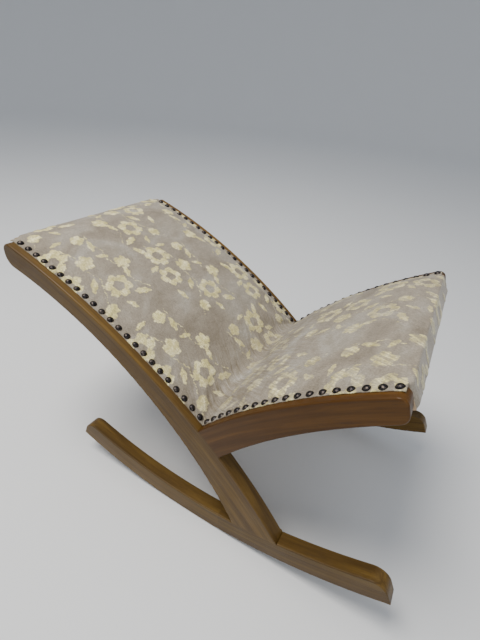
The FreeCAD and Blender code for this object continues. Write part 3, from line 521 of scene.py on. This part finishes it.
# One repeat of the pattern: shape, place along and across the cloth, size and turn in degrees.
SPRIG = [
    (ring_flower, -38, -24, 15.5, 10), (ring_flower, -4, -30, 13.5, 35),
    (ring_flower, 30, 8, 14.5, 0), (full_flower, -14, 0, 10.5, 20),
    (full_flower, 47, -17, 8.0, 50), (full_flower, -46, 16, 8.5, 0),
    (full_flower, 6, 36, 9.5, 70), (leaf, -52, -40, 10, 35), (leaf, -20, -42, 9, 110),
    (leaf, 14, -12, 10, -35), (leaf, 50, 26, 11, 65), (leaf, 20, 30, 9, 160),
    (leaf, -30, 22, 10, -20), (leaf, -54, -6, 8, 85), (leaf, 56, 4, 8, 20),
    (leaf, -12, 22, 8, 60), (leaf, 24, -34, 9, 15),
]
STEMS = [
    [(-57, -30), (-44, -10), (-26, -4), (-8, -8), (12, -2), (30, -10), (57, -26)],
    [(-50, 28), (-34, 24), (-20, 28), (-4, 24), (14, 30), (34, 28), (50, 38)],
]
SPRIG_SCALE = 1.34
SPRIG_REACH = 96   # from a sprig's middle to past its farthest leaf, before scaling
REPEAT_A = 172
REPEAT_B = 132
COLUMNS = range(-3, 4)


def draw_sprig(a, b):
    """How much of one sprig covers each place about its middle, with edges a little wavy."""
    a, b = (a + 0.55 * np.sin(b * 0.83 + 1) + 0.35 * np.sin(a * 1.7),
            b + 0.55 * np.sin(a * 0.77) + 0.35 * np.sin(b * 1.9 + 2))
    covered = np.zeros(a.shape)
    for shape, place_a, place_b, size, turn in SPRIG:
        covered = np.maximum(covered, shape(a - place_a, b - place_b, size, math.radians(turn)))
    for points in STEMS:
        covered = np.maximum(covered, stem(a, b, points))
    return covered


def make_motif(a, b):
    """How much of the raised pattern covers each point of the flat cloth, from 0 to 1."""
    mask = np.zeros(a.shape)
    rng = np.random.default_rng(7)
    first_a, last_a = int(a.min() // REPEAT_A) - 1, int(a.max() // REPEAT_A) + 2
    for column in COLUMNS:
        for row in range(first_a, last_a):
            mid_a = (row + 0.5 * (column % 2)) * REPEAT_A + rng.uniform(-5, 5)
            mid_b = column * REPEAT_B + 14 + rng.uniform(-4, 4)
            tilt = math.radians(rng.uniform(-9, 9))
            flip = 1 if rng.random() < 0.5 else -1
            near = np.hypot(a - mid_a, b - mid_b) <= SPRIG_REACH * SPRIG_SCALE
            if not near.any():
                continue
            da, db = a[near] - mid_a, b[near] - mid_b
            here_a = (da * math.cos(tilt) + db * math.sin(tilt)) / SPRIG_SCALE
            here_b = (db * math.cos(tilt) - da * math.sin(tilt)) * flip / SPRIG_SCALE
            mask[near] = np.maximum(mask[near], draw_sprig(here_a, here_b))
    return mask


# ---------------------------------------------------------------- meshes of the soft goods

def cloth_rows():
    """Places across the cover, fine over the padding and finer at the hems, and a hem's count."""
    inner = np.linspace(-WALL_Y, WALL_Y, 201)
    margin = np.array([150.2, 151.8, 153.4, 155.0, 156.4, 157.6, 158.5, 159.2, 159.7, HEM_Y])
    return np.concatenate([-margin[::-1], inner, margin]), len(margin)


def grid_faces(rows, columns, start=0):
    """Quads over a grid of points that are numbered row by row."""
    index = start + np.arange(rows * columns).reshape(rows, columns)
    quads = np.stack([index[:-1, :-1], index[1:, :-1], index[1:, 1:], index[:-1, 1:]], axis=-1)
    return quads.reshape(-1, 4)


END_TOP_ROUND = 3.4
END_LOW_ROUND = 3.0
END_TUCK = 9       # how far the cloth runs back under an end rail
LONG_DROP = 26
SHORT_DROP = 29
CORNER_DRAW = 2.0  # how far the upright corners draw in from the cover's end


def end_path(drop):
    """The cloth's way over an end rail, as steps outwards and downwards from its top edge."""
    steps = []
    for turn in np.linspace(0, math.pi / 2, 7)[1:]:
        steps.append((END_TOP_ROUND * math.sin(turn), END_TOP_ROUND * (1 - math.cos(turn))))
    for down in np.linspace(END_TOP_ROUND, drop - END_LOW_ROUND, 12)[1:]:
        steps.append((END_TOP_ROUND, down))
    for turn in np.linspace(0, math.pi / 2, 5)[1:]:
        steps.append((END_TOP_ROUND - END_LOW_ROUND * (1 - math.cos(turn)),
                      drop - END_LOW_ROUND + END_LOW_ROUND * math.sin(turn)))
    for inward in np.linspace(0, END_TUCK, 5)[1:]:
        steps.append((END_TOP_ROUND - END_LOW_ROUND - inward, drop))
    return steps


def make_object(name, points, faces):
    """A smooth object from points in the drawing, in millimetres."""
    mesh = bpy.data.meshes.new(name)
    mesh.from_pydata([STOOL @ (Vector(point) * MM) for point in points], [],
                     [tuple(int(i) for i in face) for face in faces])
    mesh.update()
    mesh.shade_smooth()
    made = bpy.data.objects.new(name, mesh)
    scene.collection.objects.link(made)
    return made


def end_wall(edge, edge_a, way, turn, drop):
    """Points and flat-cloth lengths of the part that is turned down over one end rail."""
    outward = np.array([math.cos(turn), 0, -math.sin(turn)]) * way
    upward = np.array([math.sin(turn), 0, math.cos(turn)])
    inset = np.clip(np.abs(edge[:, 1]) - (WALL_Y - WALL_ROUND), 0, WALL_ROUND)[:, None]
    inset = (WALL_ROUND - np.sqrt(WALL_ROUND ** 2 - inset ** 2)) / WALL_ROUND
    path = end_path(drop)
    layers = [edge] + [edge + outward * (out - inset * (out + CORNER_DRAW)) - upward * down
                       for out, down in path]
    walk = [0.0]
    for (out0, down0), (out1, down1) in zip([(0, 0)] + path, path):
        walk.append(walk[-1] + math.hypot(out1 - out0, down1 - down0))
    return np.stack(layers), edge_a[None, :] + way * np.array(walk)[:, None]


def cover_grid():
    """The cover's points and faces, and each point's place on the flat cloth."""
    rows, margin = cloth_rows()
    stations = np.linspace(LONG.x_at(LONG_END), SHORT.x_at(SHORT_END), 381)
    x, y = np.meshgrid(stations, rows, indexing="ij")
    sheet = np.stack([x, y, cover_height(x, y)], axis=-1)
    steps = np.hypot(np.diff(x, axis=0), np.diff(sheet[..., 2], axis=0))
    length = np.vstack([np.zeros((1, len(rows))), np.cumsum(steps, axis=0)])
    cloth_a = length - length[int(np.argmin(np.abs(stations - CROTCH_X)))]
    points = [sheet.reshape(-1, 3)]
    flat_a = [cloth_a.reshape(-1)]
    flat_b = [y.reshape(-1)]
    faces = [grid_faces(*x.shape)]
    start = x.size
    inner = slice(margin, -margin)
    for last, way, turn, drop in ((0, -1, LONG_END, LONG_DROP), (-1, 1, SHORT_END, SHORT_DROP)):
        wall, wall_a = end_wall(sheet[last][inner], cloth_a[last][inner], way, turn, drop)
        points.append(wall.reshape(-1, 3))
        flat_a.append(wall_a.reshape(-1))
        flat_b.append(wall[..., 1].reshape(-1))
        quads = grid_faces(*wall.shape[:2], start)
        faces.append(quads if way > 0 else quads[:, ::-1])
        start += wall_a.size
    return [np.concatenate(parts) for parts in (points, faces, flat_a, flat_b)]


CLOTH_THICKNESS = 0.9 * MM
MOTIF_HEIGHT = 0.6 * MM
SEW_REACH = 0.02 * MM


def make_cover():
    """The velvet: one sheet over both rests, turned down over the two end rails."""
    points, faces, flat_a, flat_b = cover_grid()
    cover = make_object("velvet_cover", points, faces)
    mesh = cover.data
    motif = mesh.attributes.new("motif", "FLOAT", "POINT")
    motif.data.foreach_set("value", make_motif(flat_a, flat_b))
    layer = mesh.uv_layers.new(name="cloth")
    corners = np.empty(len(mesh.loops), dtype=np.int32)
    mesh.loops.foreach_get("vertex_index", corners)
    flat = np.stack([flat_a[corners], flat_b[corners]], axis=-1) * MM
    layer.data.foreach_set("uv", flat.reshape(-1))
    sew_ends(cover)
    raise_motif(cover)
    skin = cover.modifiers.new("thickness", "SOLIDIFY")
    skin.thickness = CLOTH_THICKNESS
    skin.offset = -1
    mesh.materials.append(velvet())
    return cover, float(flat_a.max() - flat_a.min()) * MM


def sew_ends(piece):
    """Join the turned-down ends to the sheet, where the first row of each lies on its last."""
    work = bmesh.new()
    work.from_mesh(piece.data)
    bmesh.ops.remove_doubles(work, verts=work.verts, dist=SEW_REACH)
    bmesh.ops.recalc_face_normals(work, faces=work.faces)
    top = max(work.faces, key=lambda face: face.calc_center_median().z)
    if top.normal.z < 0:
        bmesh.ops.reverse_faces(work, faces=work.faces)
    work.to_mesh(piece.data)
    work.free()


def raise_motif(piece):
    """Lift the pattern off the ground of the cloth."""
    mesh = piece.data
    count = len(mesh.vertices)
    place = np.empty(count * 3)
    normal = np.empty(count * 3)
    value = np.empty(count)
    mesh.vertices.foreach_get("co", place)
    mesh.vertices.foreach_get("normal", normal)
    mesh.attributes["motif"].data.foreach_get("value", value)
    place += normal * np.repeat(value * MOTIF_HEIGHT, 3)
    mesh.vertices.foreach_set("co", place)
    mesh.update()


PAD_DROP = 1.3     # from the cover down to a pad's top
PAD_SEAT = 0.05    # from the boards' top edges up to a pad's foot
PAD_EDGE = 0.1     # a pad's least thickness
PAD_END_GAP = 2    # from a pad's end to the cover's end
PAD_FOLD_GAP = 1   # from a pad to the crotch


def make_pad(name, arc, low_x, high_x):
    """A closed crowned pad a little under the cover."""
    stations = np.linspace(low_x, high_x, 70)
    rows = np.linspace(-WALL_Y, WALL_Y, 61)
    x, y = np.meshgrid(stations, rows, indexing="ij")
    foot_z = arc.z_at(x, PAD_SEAT)
    top_z = np.maximum(cover_height(x, y, sink=PAD_DROP), foot_z + PAD_EDGE)
    points = np.concatenate([np.stack([x, y, z], axis=-1).reshape(-1, 3) for z in (top_z, foot_z)])
    upper = grid_faces(*x.shape)
    lower = grid_faces(*x.shape, x.size)[:, ::-1]
    index = np.arange(x.size).reshape(x.shape)
    rim = np.concatenate([index[0, :], index[1:, -1], index[-1, -2::-1], index[-2:0, 0]])
    after = np.roll(rim, -1)
    sides = np.stack([rim, after, after + x.size, rim + x.size], axis=-1)
    return make_object(name, points, np.concatenate([upper, lower, sides]))


# ---------------------------------------------------------------- putting it together

# Each board's arc, where its grain starts, and its tint.
WALNUT = {
    "long_rail_left": (LONG, 3.1, (1.05, 1.0, 0.95)),
    "long_rail_right": (LONG, 7.7, (1.0, 1.0, 1.0)),
    "short_arm_left": (SHORT, 5.3, (0.66, 0.50, 0.34)),
    "short_arm_right": (SHORT, 9.2, (0.66, 0.50, 0.34)),
    "rocker_left": (ROCKER, 1.9, (0.95, 0.95, 0.95)),
    "rocker_right": (ROCKER, 4.4, (0.91, 0.93, 0.98)),
}


def dress(node, material):
    """Give a CAD node a better material in each of its slots."""
    data = NODES[node].data
    if not data.materials:
        data.materials.append(material)
    for index in range(len(data.materials)):
        data.materials[index] = material


def dress_nodes():
    """Give every CAD node that stays its finish."""
    for node, values in WALNUT.items():
        dress(node, walnut("walnut_" + node, *values))
    bare = plain_wood("bare_beech", (0.50, 0.36, 0.22), (0.36, 0.24, 0.14), (90, 4, 90))
    pegs = plain_wood("dowel_beech", (0.60, 0.45, 0.28), (0.46, 0.32, 0.19), (40, 40, 40))
    bronze = metal("nail_bronze", (0.020, 0.018, 0.020), (0.13, 0.105, 0.085), 0.36)
    blued = metal("tack_steel", (0.10, 0.105, 0.115), (0.30, 0.31, 0.33), 0.40)
    jute = woven("jute_webbing", (0.46, 0.35, 0.21), (0.26, 0.19, 0.11), 0.0035)
    sacking = woven("hessian", (0.50, 0.39, 0.24), (0.22, 0.16, 0.09), 0.0022)
    for node in NODES:
        if node.endswith("_rail"):
            dress(node, bare)
        elif "dowels" in node:
            dress(node, pegs)
        elif "nails" in node:
            dress(node, bronze)
        elif "tacks" in node:
            dress(node, blued)
        elif node.startswith("webbing"):
            dress(node, jute)
        elif node.startswith("hessian"):
            dress(node, sacking)


def wadding():
    """Pale fibre with a fluffy surface."""
    material, shader, nodes = new_material("wadding", (0.72, 0.68, 0.60), 0.95)
    here = nodes.add("TexCoord").outputs["Object"]
    fluff = nodes.noise(here, 180, 5, 0.7, 1.2)
    feed(nodes, shader, base_color=nodes.ramp(fluff, (0.3, (0.58, 0.53, 0.45)),
                                              (0.7, (0.80, 0.77, 0.70))),
         normal=nodes.bump(fluff, 0.002, 0.8))
    return material


make_camera()
make_studio()
dress_nodes()
cover, cover_length = make_cover()
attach(cover, "root")
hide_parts("seat_cover")
pads = (("long", LONG, LONG.x_at(LONG_END) + PAD_END_GAP, CROTCH_X - PAD_FOLD_GAP),
        ("short", SHORT, CROTCH_X + PAD_FOLD_GAP, SHORT.x_at(SHORT_END) - PAD_END_GAP))
for label, arc, low_x, high_x in pads:
    pad = make_pad("pad_" + label, arc, low_x, high_x)
    pad.data.materials.append(wadding())
    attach(pad, "root")
    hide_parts("stuffing_" + label)

bpy.context.view_layer.update()
